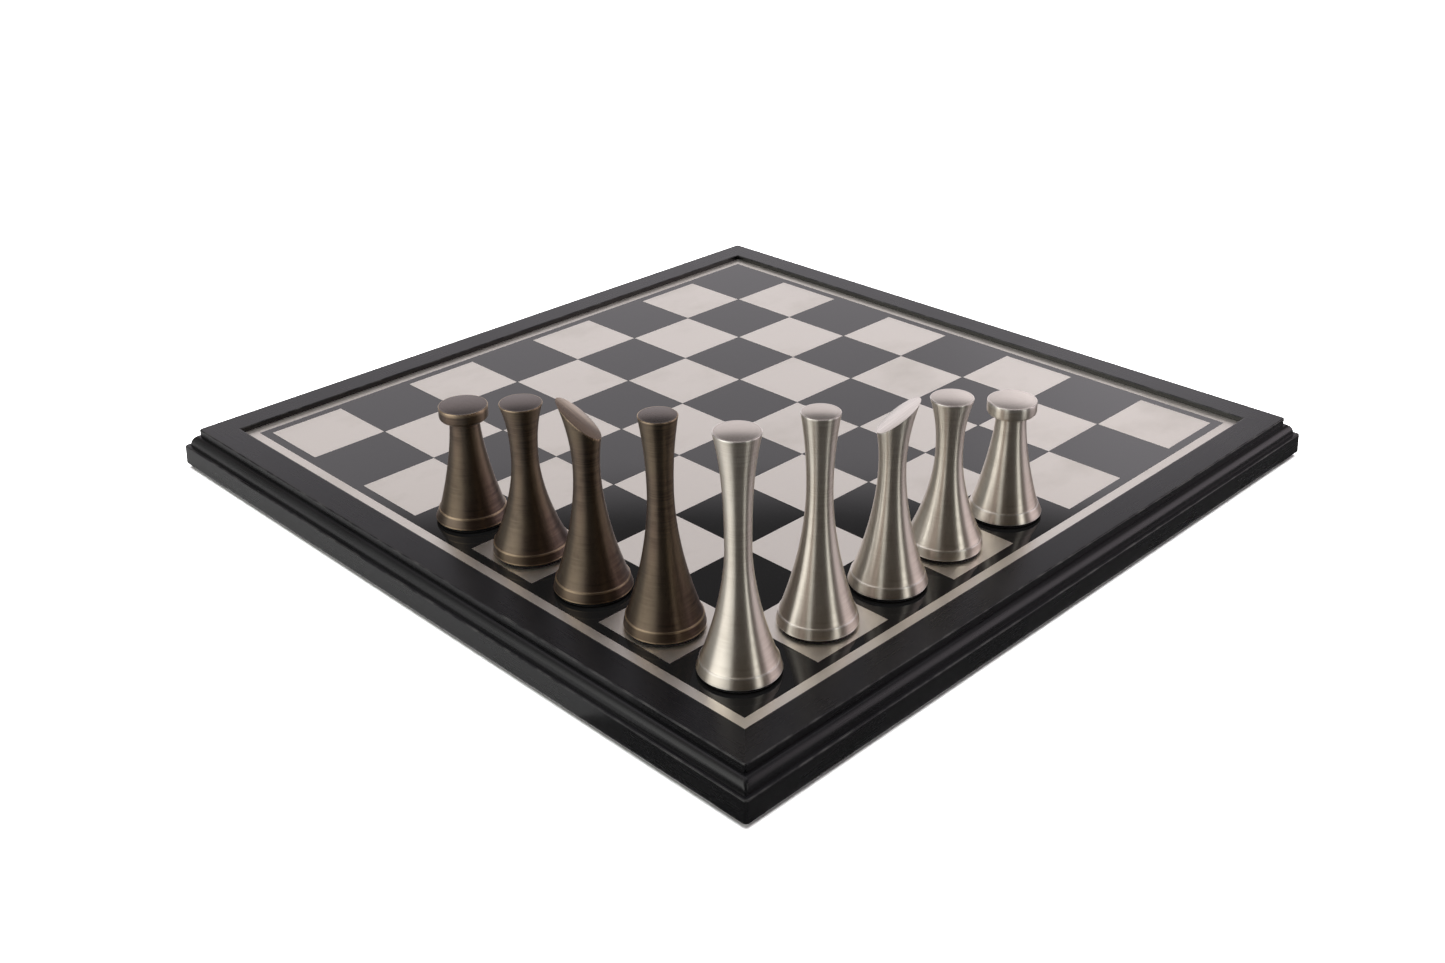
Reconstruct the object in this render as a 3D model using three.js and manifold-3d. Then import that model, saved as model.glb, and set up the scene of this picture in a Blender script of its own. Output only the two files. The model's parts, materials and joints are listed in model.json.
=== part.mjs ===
// Chess set with board. A mitred frame holds a core panel and a metal playing
// plate with black enamel squares, and nine turned metal pieces stand on it.
// Millimetres, +Z up. The origin lies on the surface the board stands on,
// under the middle of the board. Dark pieces stand along -X, silver along -Y.
import * as THREE from 'three';
import { mergeVertices } from 'three/addons/utils/BufferGeometryUtils.js';
import Module from 'manifold-3d';

// Playing field
const SQUARE = 38;
const ROWS = 8;
const HALF_FIELD = SQUARE * ROWS / 2;
const OUTER_TRIM = 2;
const LIGHT_INSET = 0.2;
const BORDER_OFFSET = 2.2;

// Heights of the board's layers, from the surface it stands on
const FOOT_THICKNESS = 1.2;
const FRAME_HEIGHT = 18;
const LEDGE_HEIGHT = 5;
const PANEL_THICKNESS = 9.3;
const PLATE_THICKNESS = 1.5;
const ENAMEL_DEPTH = 0.4;
const BACKING_THICKNESS = 0.8;
const LEDGE_TOP = FOOT_THICKNESS + LEDGE_HEIGHT;
const PLATE_BOTTOM = LEDGE_TOP + PANEL_THICKNESS;
const PLAY_HEIGHT = PLATE_BOTTOM + PLATE_THICKNESS;

// Frame section: distances outward from the edge of the playing field
const LEDGE_INNER = 0;
const WALL = 8.2;
const TOP_OUTER = 21.6;
const FASCIA_HEIGHT = 3.5;
const BEAD_STEP = 0.5;
const BEAD_DEPTH = 3.2;
const BEAD_HEIGHT = 4.4;
const BAND_TOP = 10;
const BAND_OUTER = 27.7;
const BAND_LEAN = 0.5;
const BAND_CHAMFER = 1.4;
const EDGE_ROUND = 0.5;

// Clearances
const FIT_GAP = 0.1;
const TURNED_GAP = 0.3;

// Fasteners, keys and feet
const SCREW_ROWS = [-90, 90];
const SCREW_OFFSET = 4;
const SCREW = { head: 2.9, shank: 1.4, sink: 0.4, cone: 1.6, length: 12, point: 3 };
const KEY = { length: 16, width: 8, thickness: 4, offset: 17.8, above: 2.5 };
const FOOT = { radius: 8, offset: 17 };

// Pieces: base, pad and the turned side. The side is narrowest at the waist
// and flares to the foot and to the crown, each by its own power.
const BASE_RADIUS = 15;
const BASE_TOP = 5.7;
const BASE_LIP = 0.5;
const LIP_BEVEL = 0.4;
const PAD_RADIUS = 14.3;
const PAD_THICKNESS = 1.4;
const DOME = 0.5;
const ROOK_CAP = { radius: 9.75, height: 5.9, round: 1.8 };
const TYPES = {
  rook: { height: 50, foot: 13, waist: 5.9, waistAt: 44.1, crown: 5.9, low: 1.6, high: 1 },
  knight: { height: 63.6, foot: 14.2, waist: 5.2, waistAt: 41, crown: 8.4, low: 1.8, high: 2.4 },
  bishop: { height: 80, foot: 13.5, waist: 5, waistAt: 50, crown: 10.6, low: 1.85, high: 1.95 },
  queen: { height: 83.6, foot: 13.8, waist: 4.7, waistAt: 54.6, crown: 7.05, low: 1.85, high: 2.1 },
  king: { height: 91, foot: 13.5, waist: 4.65, waistAt: 47.5, crown: 8.25, low: 1.7, high: 2.75 },
};

// Where the pieces stand: column and row of the square, shift from its middle,
// and a bishop's cut: its height in the middle, the heading of its high side
// and its slope, a little different on the two bishops
const CUT_CENTRE = 68;
const HIGH_SIDE = 135 * Math.PI / 180;
const OPPOSITE_SIDE = HIGH_SIDE - Math.PI;
const STEEP_CUT = { heading: HIGH_SIDE, slope: 43.5 * Math.PI / 180 };
const SHALLOW_CUT = { heading: OPPOSITE_SIDE, slope: 39.5 * Math.PI / 180 };
const SET = [
  { name: 'dark_rook', type: 'rook', square: [0, 4], shift: [-0.4, 1.6] },
  { name: 'dark_knight', type: 'knight', square: [0, 3], shift: [-1.1, 0.7] },
  { name: 'dark_bishop', type: 'bishop', square: [0, 2], shift: [-2.3, 0.5], cut: STEEP_CUT },
  { name: 'dark_queen', type: 'queen', square: [0, 1], shift: [-1.4, 0.2] },
  { name: 'silver_king', type: 'king', square: [0, 0], shift: [-2.7, -0.6] },
  { name: 'silver_queen', type: 'queen', square: [1, 0], shift: [0, 0.3] },
  { name: 'silver_bishop', type: 'bishop', square: [2, 0], shift: [0.2, -0.5], cut: SHALLOW_CUT },
  { name: 'silver_knight', type: 'knight', square: [3, 0], shift: [-1.4, 1.6] },
  { name: 'silver_rook', type: 'rook', square: [4, 0], shift: [-0.8, 1.1] },
];

// Facets
const TURN_SIDES = 24;
const SMALL_SIDES = 12;
const LOW_STEPS = 6;
const HIGH_STEPS = 4;

const wasm = await Module();
wasm.setup();

// A closed geometry as a manifold solid.
function solid(geometry) {
  const bare = geometry.clone();
  bare.deleteAttribute('normal');
  bare.deleteAttribute('uv');
  const merged = mergeVertices(bare, 1e-4);
  const kept = [];
  for (let i = 0; i < merged.index.count; i += 3) {
    const [a, b, c] = [0, 1, 2].map((k) => merged.index.getX(i + k));
    if (a !== b && b !== c && c !== a) kept.push(a, b, c);
  }
  return new wasm.Manifold(new wasm.Mesh({
    numProp: 3,
    vertProperties: new Float32Array(merged.attributes.position.array),
    triVerts: new Uint32Array(kept),
  }));
}

// A manifold solid as a geometry.
function geometryOf(shape) {
  const mesh = shape.getMesh();
  const geometry = new THREE.BufferGeometry();
  geometry.setAttribute('position', new THREE.BufferAttribute(mesh.vertProperties, 3));
  geometry.setIndex(new THREE.BufferAttribute(mesh.triVerts, 1));
  return geometry;
}

// A solid of revolution about Z from [radius, height] points.
function turned(profile, sides) {
  const points = profile.map(([radius, height]) => new THREE.Vector2(radius, height));
  return new THREE.LatheGeometry(points, sides).rotateX(Math.PI / 2);
}

function disc(radius, thickness) {
  return turned([[0, 0], [radius, 0], [radius, thickness], [0, thickness]], TURN_SIDES);
}

function block(width, depth, height, x, y, bottom) {
  return new THREE.BoxGeometry(width, depth, height).translate(x, y, bottom + height / 2);
}

const material = (color, roughness, metalness) =>
  new THREE.MeshStandardMaterial({ color, roughness, metalness });
const FINISHES = {
  painted_wood: material(0x232224, 0.35, 0),
  panel_board: material(0x9a7b57, 0.85, 0),
  plywood: material(0xc2a273, 0.8, 0),
  brushed_plate: material(0xd2c8c4, 0.35, 1),
  black_enamel: material(0x0c0c0f, 0.06, 0),
  silver_metal: material(0xbdb6a8, 0.32, 1),
  dark_metal: material(0x6a5d49, 0.38, 1),
  black_felt: material(0x101010, 0.95, 0),
  black_card: material(0x1a1a1c, 0.8, 0),
  screw_steel: material(0xa8a8a4, 0.4, 1),
};

const set = new THREE.Group();

function add(name, geometry, finish, parent = set) {
  const mesh = new THREE.Mesh(geometry, FINISHES[finish].clone());
  mesh.name = name;
  parent.add(mesh);
  return mesh;
}

// ---- Frame rails ----

// Section of a rail: x runs outward from the playing field, y runs up.
function railSection() {
  const top = FOOT_THICKNESS + FRAME_HEIGHT;
  const bead = top - FASCIA_HEIGHT;
  const beadIn = TOP_OUTER + BEAD_STEP;
  const band = FOOT_THICKNESS + BAND_TOP;
  const section = new THREE.Shape();
  section.moveTo(LEDGE_INNER, FOOT_THICKNESS);
  section.lineTo(BAND_OUTER - BAND_CHAMFER, FOOT_THICKNESS);
  section.lineTo(BAND_OUTER, FOOT_THICKNESS + BAND_CHAMFER);
  section.lineTo(BAND_OUTER - BAND_LEAN, band - EDGE_ROUND);
  section.lineTo(BAND_OUTER - BAND_LEAN - EDGE_ROUND, band);
  section.lineTo(beadIn + BEAD_DEPTH, bead - BEAD_HEIGHT);
  section.absellipse(beadIn, bead - BEAD_HEIGHT, BEAD_DEPTH, BEAD_HEIGHT, 0, Math.PI / 2);
  section.lineTo(TOP_OUTER, bead);
  section.lineTo(TOP_OUTER, top - EDGE_ROUND);
  section.lineTo(TOP_OUTER - EDGE_ROUND, top);
  section.lineTo(WALL + EDGE_ROUND, top);
  section.lineTo(WALL, top - EDGE_ROUND);
  section.lineTo(WALL, LEDGE_TOP);
  section.lineTo(LEDGE_INNER, LEDGE_TOP);
  return section;
}

// A rail along X on the -Y side, both ends cut at 45 degrees.
function railBlank() {
  const geometry = new THREE.ExtrudeGeometry(railSection(), {
    depth: 1,
    bevelEnabled: false,
    curveSegments: 5,
  });
  const place = geometry.attributes.position;
  for (let i = 0; i < place.count; i += 1) {
    const offset = place.getX(i);
    const half = HALF_FIELD + offset - FIT_GAP;
    place.setXYZ(i, half * (1 - 2 * place.getZ(i)), -HALF_FIELD - offset, place.getY(i));
  }
  return geometry;
}

// Profile of a panel screw, or of its hole when it grows by a clearance. The
// hole opens below the rail.
function screwProfile(grow) {
  const bottom = FOOT_THICKNESS + (grow ? -SCREW.sink : SCREW.sink);
  const head = SCREW.head + grow;
  const shank = SCREW.shank + grow;
  const seat = FOOT_THICKNESS + SCREW.sink;
  const end = seat + SCREW.length + grow;
  return [
    [0, bottom], [head, bottom], [head, seat + grow], [shank, seat + SCREW.cone + grow],
    [shank, end - SCREW.point], [0, end],
  ];
}

// Every screw's place on the -Y rail
const screwPlaces = SCREW_ROWS.map((x) => [x, -HALF_FIELD - SCREW_OFFSET]);

// A block across the mitre at the (sign, -1) corner, grown by a clearance.
function keyBlock(sign, grow) {
  const at = HALF_FIELD + KEY.offset;
  return new THREE.BoxGeometry(KEY.length + 2 * grow, KEY.width + 2 * grow, KEY.thickness + 2 * grow)
    .rotateZ(sign * Math.PI / 4)
    .translate(sign * at, -at, FOOT_THICKNESS + KEY.above + KEY.thickness / 2);
}

function railGeometry() {
  let rail = solid(railBlank());
  for (const [x, y] of screwPlaces) {
    rail = rail.subtract(solid(turned(screwProfile(FIT_GAP), SMALL_SIDES).translate(x, y, 0)));
  }
  for (const sign of [-1, 1]) {
    rail = rail.subtract(solid(keyBlock(sign, TURNED_GAP)));
  }
  return geometryOf(rail);
}

// Each quarter turn holds one rail and the corner at the rail's -X end
const SIDES = ['near', 'right', 'far', 'left'];
const CORNERS = ['near_left', 'near_right', 'far_right', 'far_left'];
const rail = railGeometry();
const panelHoles = [];
SIDES.forEach((side, i) => {
  const quarter = new THREE.Group();
  quarter.rotation.z = i * Math.PI / 2;
  set.add(quarter);
  add(`frame_rail_${side}`, rail.clone(), 'painted_wood', quarter);
  add(`corner_key_${CORNERS[i]}`, keyBlock(-1, 0), 'plywood', quarter);
  screwPlaces.forEach(([x, y], k) => {
    const screw = turned(screwProfile(0), SMALL_SIDES).translate(x, y, 0);
    add(`panel_screw_${side}_${k + 1}`, screw, 'screw_steel', quarter);
    const hole = turned(screwProfile(FIT_GAP), SMALL_SIDES).translate(x, y, 0);
    panelHoles.push(hole.rotateZ(quarter.rotation.z));
  });
  const corner = -HALF_FIELD - FOOT.offset;
  const foot = disc(FOOT.radius, FOOT_THICKNESS).translate(corner, corner, 0);
  add(`felt_foot_${CORNERS[i]}`, foot, 'black_felt', quarter);
});

// ---- Panel, backing, plate and enamel ----

const panelSide = 2 * (HALF_FIELD + WALL - FIT_GAP);
let panel = solid(block(panelSide, panelSide, PANEL_THICKNESS, 0, 0, LEDGE_TOP));
for (const hole of panelHoles) panel = panel.subtract(solid(hole));
add('core_panel', geometryOf(panel), 'panel_board');

const backingSide = 2 * (HALF_FIELD + LEDGE_INNER - FIT_GAP);
const backingBottom = LEDGE_TOP - BACKING_THICKNESS;
const backing = block(backingSide, backingSide, BACKING_THICKNESS, 0, 0, backingBottom);
add('backing_card', backing, 'black_card');

// Low and high edge of a light square along one axis: the outer rows are trimmed.
function lightSpan(index) {
  const low = index * SQUARE - HALF_FIELD;
  const lowInset = index === 0 ? OUTER_TRIM : LIGHT_INSET;
  const highInset = index === ROWS - 1 ? OUTER_TRIM : LIGHT_INSET;
  return [low + lowInset, low + SQUARE - highInset];
}

// The black field as a slab with a window at each light square. A clearance
// shrinks its outline and widens its windows.
function enamelSlab(clearance, depth) {
  const bottom = PLAY_HEIGHT - ENAMEL_DEPTH;
  const side = 2 * (HALF_FIELD + BORDER_OFFSET - clearance);
  let slab = solid(block(side, side, depth, 0, 0, bottom));
  for (let column = 0; column < ROWS; column += 1) {
    for (let row = 0; row < ROWS; row += 1) {
      if ((column + row) % 2 === 0) continue;
      const [left, right] = lightSpan(column);
      const [near, far] = lightSpan(row);
      const width = right - left + 2 * clearance;
      const length = far - near + 2 * clearance;
      const middle = [(left + right) / 2, (near + far) / 2];
      slab = slab.subtract(solid(block(width, length, 4 * depth, ...middle, bottom - depth)));
    }
  }
  return slab;
}

const sheet = solid(block(panelSide, panelSide, PLATE_THICKNESS, 0, 0, PLATE_BOTTOM));
add('playing_plate', geometryOf(sheet.subtract(enamelSlab(0, 2 * ENAMEL_DEPTH))), 'brushed_plate');
add('enamel_field', geometryOf(enamelSlab(FIT_GAP / 2, ENAMEL_DEPTH)), 'black_enamel');

// ---- Pieces ----

// Radius of a piece's turned side at a height above the playing surface.
function sideRadius(type, height) {
  const { foot, waist, waistAt, crown, low, high } = type;
  if (height < waistAt) {
    return waist + (foot - waist) * ((waistAt - height) / (waistAt - BASE_TOP)) ** low;
  }
  return waist + (crown - waist) * ((height - waistAt) / (type.height - waistAt)) ** high;
}

// Points up the side between two heights.
function sidePoints(type, from, to, steps) {
  const points = [];
  for (let i = 0; i <= steps; i += 1) {
    const height = from + (to - from) * i / steps;
    points.push([sideRadius(type, height), height]);
  }
  return points;
}

// The base band: it narrows slightly upward and ends in a bevelled lip.
function basePoints(type) {
  const lip = type.foot + BASE_LIP;
  return [
    [0, PAD_THICKNESS],
    [BASE_RADIUS, PAD_THICKNESS],
    [lip, BASE_TOP - LIP_BEVEL],
    [lip - LIP_BEVEL / 2, BASE_TOP],
  ];
}

function rookProfile(type) {
  const { radius, height, round } = ROOK_CAP;
  const under = type.height - height;
  return [
    ...basePoints(type),
    ...sidePoints(type, BASE_TOP, under, LOW_STEPS),
    [radius - round, under], [radius, under + round], [radius, type.height - DOME], [0, type.height],
  ];
}

function flaredProfile(type) {
  return [
    ...basePoints(type),
    ...sidePoints(type, BASE_TOP, type.waistAt, LOW_STEPS),
    ...sidePoints(type, type.waistAt, type.height - DOME, HIGH_STEPS).slice(1),
    [0, type.height],
  ];
}

// A bishop's flared body with its top sliced off by a slanting plane.
function bishopGeometry(type, cut) {
  const size = type.height;
  const blade = new THREE.BoxGeometry(size, size, size)
    .translate(0, 0, size / 2)
    .rotateY(-cut.slope)
    .rotateZ(cut.heading)
    .translate(0, 0, CUT_CENTRE);
  return geometryOf(solid(turned(flaredProfile(type), TURN_SIDES)).subtract(solid(blade)));
}

function pieceGeometry(piece) {
  const type = TYPES[piece.type];
  if (piece.type === 'bishop') return bishopGeometry(type, piece.cut);
  const profile = piece.type === 'rook' ? rookProfile(type) : flaredProfile(type);
  return turned(profile, TURN_SIDES);
}

for (const piece of SET) {
  const stand = new THREE.Group();
  const [x, y] = piece.square.map((index) => (index + 0.5) * SQUARE - HALF_FIELD);
  stand.position.set(x + piece.shift[0], y + piece.shift[1], PLAY_HEIGHT);
  set.add(stand);
  const finish = piece.name.startsWith('dark') ? 'dark_metal' : 'silver_metal';
  add(`${piece.name}_body`, pieceGeometry(piece), finish, stand);
  add(`${piece.name}_pad`, disc(PAD_RADIUS, PAD_THICKNESS), 'black_felt', stand);
}

export default set;
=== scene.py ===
"""Looks of the chess set with board: fine shapes, finishes, lights and camera.

Everything is in metres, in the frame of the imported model. The board stands on
the plane z = 0 round the origin, with the dark pieces along its -X side and
the silver ones along -Y. Profiles of pieces and rails are given in mm.
"""
import json
import math

import bmesh
import bpy
from mathutils import Matrix, Vector, noise


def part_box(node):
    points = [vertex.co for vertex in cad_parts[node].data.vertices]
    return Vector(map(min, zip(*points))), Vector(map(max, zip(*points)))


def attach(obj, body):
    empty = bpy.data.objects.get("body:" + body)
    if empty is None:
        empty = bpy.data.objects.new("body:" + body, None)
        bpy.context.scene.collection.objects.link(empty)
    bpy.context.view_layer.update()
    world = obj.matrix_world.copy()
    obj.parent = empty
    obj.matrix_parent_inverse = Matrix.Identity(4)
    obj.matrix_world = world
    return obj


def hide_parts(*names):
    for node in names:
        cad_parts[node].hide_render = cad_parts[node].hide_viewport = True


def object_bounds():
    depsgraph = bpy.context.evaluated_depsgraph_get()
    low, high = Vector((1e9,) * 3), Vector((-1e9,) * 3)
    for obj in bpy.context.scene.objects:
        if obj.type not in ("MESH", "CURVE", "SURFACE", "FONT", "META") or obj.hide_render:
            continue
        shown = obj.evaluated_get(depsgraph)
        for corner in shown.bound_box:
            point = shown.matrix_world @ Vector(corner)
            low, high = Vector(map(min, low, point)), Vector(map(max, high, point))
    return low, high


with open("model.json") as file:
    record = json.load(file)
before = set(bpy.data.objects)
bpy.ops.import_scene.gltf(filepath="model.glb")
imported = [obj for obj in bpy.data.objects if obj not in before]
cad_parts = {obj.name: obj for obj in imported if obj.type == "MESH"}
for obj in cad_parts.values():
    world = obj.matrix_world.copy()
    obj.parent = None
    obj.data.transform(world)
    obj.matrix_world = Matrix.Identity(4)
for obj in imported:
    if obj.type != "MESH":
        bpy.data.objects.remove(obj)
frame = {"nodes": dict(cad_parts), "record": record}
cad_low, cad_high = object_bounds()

MM = 0.001
RECORD = frame["record"]
scene = bpy.context.scene

# ----------------------------------------------------------------- camera

CAMERA_AT = Vector((-0.4438, -0.4415, 0.3189))
CAMERA_HEADING = math.radians(45.62)
CAMERA_DOWN = math.radians(27.74)
CAMERA_ROLL = math.radians(-0.87)
CAMERA_LENS = 38.25


def make_camera():
    """The camera looks along a heading from +X, some way down, slightly rolled."""
    data = bpy.data.cameras.new("camera")
    data.lens = CAMERA_LENS
    data.sensor_width = 36
    data.sensor_fit = "HORIZONTAL"
    data.clip_start = 0.01
    data.clip_end = 100
    level = math.cos(CAMERA_DOWN)
    forward = Vector((
        math.cos(CAMERA_HEADING) * level,
        math.sin(CAMERA_HEADING) * level,
        -math.sin(CAMERA_DOWN),
    ))
    flat_right = Vector((math.sin(CAMERA_HEADING), -math.cos(CAMERA_HEADING), 0))
    flat_up = flat_right.cross(forward)
    right = flat_right * math.cos(CAMERA_ROLL) + flat_up * math.sin(CAMERA_ROLL)
    up = right.cross(forward)
    axes = Matrix((right, up, -forward)).transposed().to_4x4()
    camera = bpy.data.objects.new("camera", data)
    camera.matrix_world = Matrix.Translation(CAMERA_AT) @ axes
    scene.collection.objects.link(camera)
    scene.camera = camera


make_camera()
scene.view_settings.view_transform = "Standard"

# ----------------------------------------------------------- node helpers


class Finish:
    """A material's node tree with a few short ways to add nodes."""

    def __init__(self, name):
        self.material = bpy.data.materials.new(name)
        self.material.use_nodes = True
        self.tree = self.material.node_tree
        self.shader = self.tree.nodes["Principled BSDF"]

    def set(self, **values):
        """Sets sockets of the shader; underscores stand for spaces."""
        for name, value in values.items():
            self.shader.inputs[name.replace("_", " ")].default_value = value

    def node(self, kind, **inputs):
        made = self.tree.nodes.new(kind)
        for name, value in inputs.items():
            self.feed(made.inputs[name.replace("_", " ")], value)
        return made

    def feed(self, socket, value):
        if isinstance(value, bpy.types.NodeSocket):
            self.tree.links.new(value, socket)
        else:
            socket.default_value = value

    def place(self, attribute=None):
        """Coordinates in metres: a stored attribute, or the row frame."""
        if attribute is None:
            return self.tree.nodes.new("ShaderNodeTexCoord").outputs["Object"]
        found = self.tree.nodes.new("ShaderNodeAttribute")
        found.attribute_name = attribute
        return found.outputs["Vector"]

    def value_of(self, attribute):
        found = self.tree.nodes.new("ShaderNodeAttribute")
        found.attribute_name = attribute
        return found.outputs["Fac"]

    def stretched(self, vector, scale):
        made = self.node("ShaderNodeMapping", Vector=vector)
        made.inputs["Scale"].default_value = scale
        return made.outputs["Vector"]

    def noise(self, vector, scale, detail=2.0, roughness=0.5):
        made = self.node(
            "ShaderNodeTexNoise", Vector=vector, Scale=scale, Detail=detail, Roughness=roughness
        )
        return made.outputs["Fac"]

    def math(self, operation, first, second=0.0):
        made = self.tree.nodes.new("ShaderNodeMath")
        made.operation = operation
        self.feed(made.inputs[0], first)
        self.feed(made.inputs[1], second)
        return made.outputs[0]

    def spread(self, value, low, high, to_low=0.0, to_high=1.0):
        made = self.node("ShaderNodeMapRange", Value=value)
        for name, number in zip(("From Min", "From Max", "To Min", "To Max"),
                                (low, high, to_low, to_high)):
            made.inputs[name].default_value = number
        return made.outputs["Result"]

    def mix(self, factor, first, second):
        made = self.tree.nodes.new("ShaderNodeMix")
        made.data_type = "RGBA"
        self.feed(made.inputs[0], factor)
        self.feed(made.inputs[6], first)
        self.feed(made.inputs[7], second)
        return made.outputs[2]

    def bump(self, height, distance, strength=1.0, normal=None):
        made = self.node("ShaderNodeBump", Height=height, Distance=distance, Strength=strength)
        if normal is not None:
            self.feed(made.inputs["Normal"], normal)
        return made.outputs["Normal"]

    def link(self, output, socket):
        self.tree.links.new(output, self.shader.inputs[socket])


def grey(level):
    return (level, level, level, 1)


# -------------------------------------------------------------- materials


def painted_wood():
    """Satin black paint over moulded wood: faint grain, and lighter grey rubbed edges that are
    partly real wear and partly a painted highlight along each rounded edge.
    """
    f = Finish("painted_wood")
    f.set(IOR=1.48, Specular_IOR_Level=0.37)
    local = f.place("local")
    grain = f.noise(f.stretched(local, (35, 900, 900)), 1.0, 4, 0.6)
    cloud = f.noise(local, 24.0, 3)
    deep, pale = (0.0016, 0.0016, 0.0019, 1), (0.0028, 0.0028, 0.0032, 1)
    colour = f.mix(f.spread(cloud, 0.35, 0.7), deep, pale)
    # Lighter grey on every rounded edge: rubbed paint, and also a painted highlight line along the
    # edge.
    rubbed_and_highlighted = f.math("MULTIPLY", f.value_of("edge_wear_and_highlight"), f.spread(f.noise(local, 160.0, 4), 0.42, 0.72))
    f.link(f.mix(rubbed_and_highlighted, colour, (0.016, 0.0155, 0.015, 1)), "Base Color")
    satin = f.spread(grain, 0.3, 0.7, 0.27, 0.3)
    f.link(f.math("ADD", satin, f.spread(cloud, 0.3, 0.7, -0.03, 0.03)), "Roughness")
    peel = f.bump(f.noise(local, 1400.0, 2), 0.000005, 0.6)
    f.link(f.bump(grain, 0.00001, 0.7, peel), "Normal")
    return f.material


def brushed_plate():
    """Pale metal sheet with an extremely fine satin finish and faint smudges."""
    f = Finish("brushed_plate")
    f.set(Metallic=1.0)
    place = f.place()
    smudge = f.noise(f.stretched(place, (14, 20, 1)), 1.0, 5, 0.62)
    speckle = f.noise(place, 1500.0, 2, 0.6)
    colour = f.mix(f.spread(smudge, 0.52, 0.8), (0.98, 0.94, 0.86, 1), (0.82, 0.785, 0.7, 1))
    f.link(f.mix(f.spread(speckle, 0.3, 0.7, 0, 0.2), colour, (0.9, 0.865, 0.79, 1)), "Base Color")
    f.link(f.spread(smudge, 0.3, 0.8, 0.35, 0.41), "Roughness")
    scratch = f.noise(f.stretched(place, (60, 2600, 1)), 1.0, 2)
    fine = f.bump(speckle, 0.0000008, 0.5)
    f.link(f.bump(scratch, 0.0000008, 0.5, fine), "Normal")
    return f.material


def black_enamel():
    """Gloss black enamel, a little dusty and not perfectly level."""
    f = Finish("black_enamel")
    f.set(IOR=1.5)
    place = f.place()
    dust = f.noise(place, 420.0, 4, 0.7)
    f.link(f.mix(f.spread(dust, 0.66, 0.78), grey(0.003), grey(0.012)), "Base Color")
    f.link(f.spread(f.noise(place, 30.0, 4), 0.3, 0.75, 0.03, 0.075), "Roughness")
    f.link(f.bump(f.noise(place, 160.0, 2), 0.0000012, 1.0), "Normal")
    return f.material


# Fine rings of the turned metal: how far a noise drifts round and across them.
COARSE_RINGS = (70, 1500)
FINE_RINGS = (160, 5200)


def turned_metal(name, colour, flush, stain, rim, roughness, anisotropy, patina, lacquer, relief):
    """Turned metal with fine rings: brushed round the axis, with brighter rims that are worn edges
    and also a painted highlight line.
    """
    f = Finish(name)
    f.set(Metallic=1.0, Coat_Weight=lacquer, Coat_Roughness=0.32, Coat_IOR=1.5)
    if anisotropy:
        f.set(Anisotropic=anisotropy, Anisotropic_Rotation=0.25)
        tangent = f.tree.nodes.new("ShaderNodeTangent")
        tangent.direction_type = "RADIAL"
        tangent.axis = "Z"
        f.link(tangent.outputs[0], "Tangent")
    local = f.place("local")
    across = f.value_of("brush")
    flat = f.stretched(local, (1, 1, 0))
    lines = []
    for round_scale, line_scale in (COARSE_RINGS, FINE_RINGS):
        joined = f.node("ShaderNodeCombineXYZ", Z=f.math("MULTIPLY", across, line_scale))
        shifted = f.tree.nodes.new("ShaderNodeVectorMath")
        shifted.operation = "MULTIPLY_ADD"
        f.feed(shifted.inputs[0], flat)
        shifted.inputs[1].default_value = (round_scale, round_scale, round_scale)
        f.feed(shifted.inputs[2], joined.outputs[0])
        lines.append(f.noise(shifted.outputs[0], 1.0, 3, 0.6))
    coarse, fine = lines
    cloud = f.noise(f.stretched(local, (1, 1, 0.7)), 60.0, 4, 0.6)
    spots = f.math("MULTIPLY", f.spread(cloud, 0.4, 0.75), f.spread(coarse, 0.35, 0.65))
    drift = f.noise(f.stretched(local, (1, 1, 0.5)), 38.0, 3, 0.55)
    toned = f.mix(f.spread(drift, 0.42, 0.62), colour, flush)
    body = f.mix(f.math("MULTIPLY", spots, patina), toned, stain)
    # Rim colour on marked edges: worn metal, and also a painted highlight line along the edge.
    worn_and_highlighted = f.math("MULTIPLY", f.value_of("edge_wear_and_highlight"), f.spread(coarse, 0.3, 0.6, 0.35, 1.0))
    f.link(f.mix(worn_and_highlighted, body, rim), "Base Color")
    low, high = roughness
    f.link(f.spread(f.math("ADD", coarse, fine), 0.7, 1.3, low, high), "Roughness")
    turned = f.bump(coarse, 0.00001 * relief, 0.5)
    f.link(f.bump(fine, 0.000004 * relief, 0.5, turned), "Normal")
    return f.material


def felt():
    """Black wool felt: matt, fibrous, with a slight pile."""
    f = Finish("black_felt")
    f.set(Roughness=0.95, Sheen_Weight=0.12, Sheen_Roughness=0.5, Specular_IOR_Level=0.2)
    local = f.place("local")
    fibre = f.noise(local, 2600.0, 4, 0.7)
    f.link(f.mix(f.spread(fibre, 0.3, 0.7), grey(0.0035), grey(0.013)), "Base Color")
    f.link(f.bump(fibre, 0.00012, 0.8), "Normal")
    return f.material


def panel_board():
    """Pressed fibre board: pale brown with short darker fibres."""
    f = Finish("panel_board")
    f.set(Specular_IOR_Level=0.25)
    place = f.place()
    fibre = f.noise(f.stretched(place, (500, 500, 2200)), 1.0, 5, 0.7)
    dark, pale = (0.2, 0.12, 0.06, 1), (0.36, 0.24, 0.13, 1)
    f.link(f.mix(f.spread(fibre, 0.3, 0.7), dark, pale), "Base Color")
    f.link(f.spread(fibre, 0.2, 0.8, 0.75, 0.92), "Roughness")
    f.link(f.bump(fibre, 0.00008, 0.6), "Normal")
    return f.material


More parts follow.
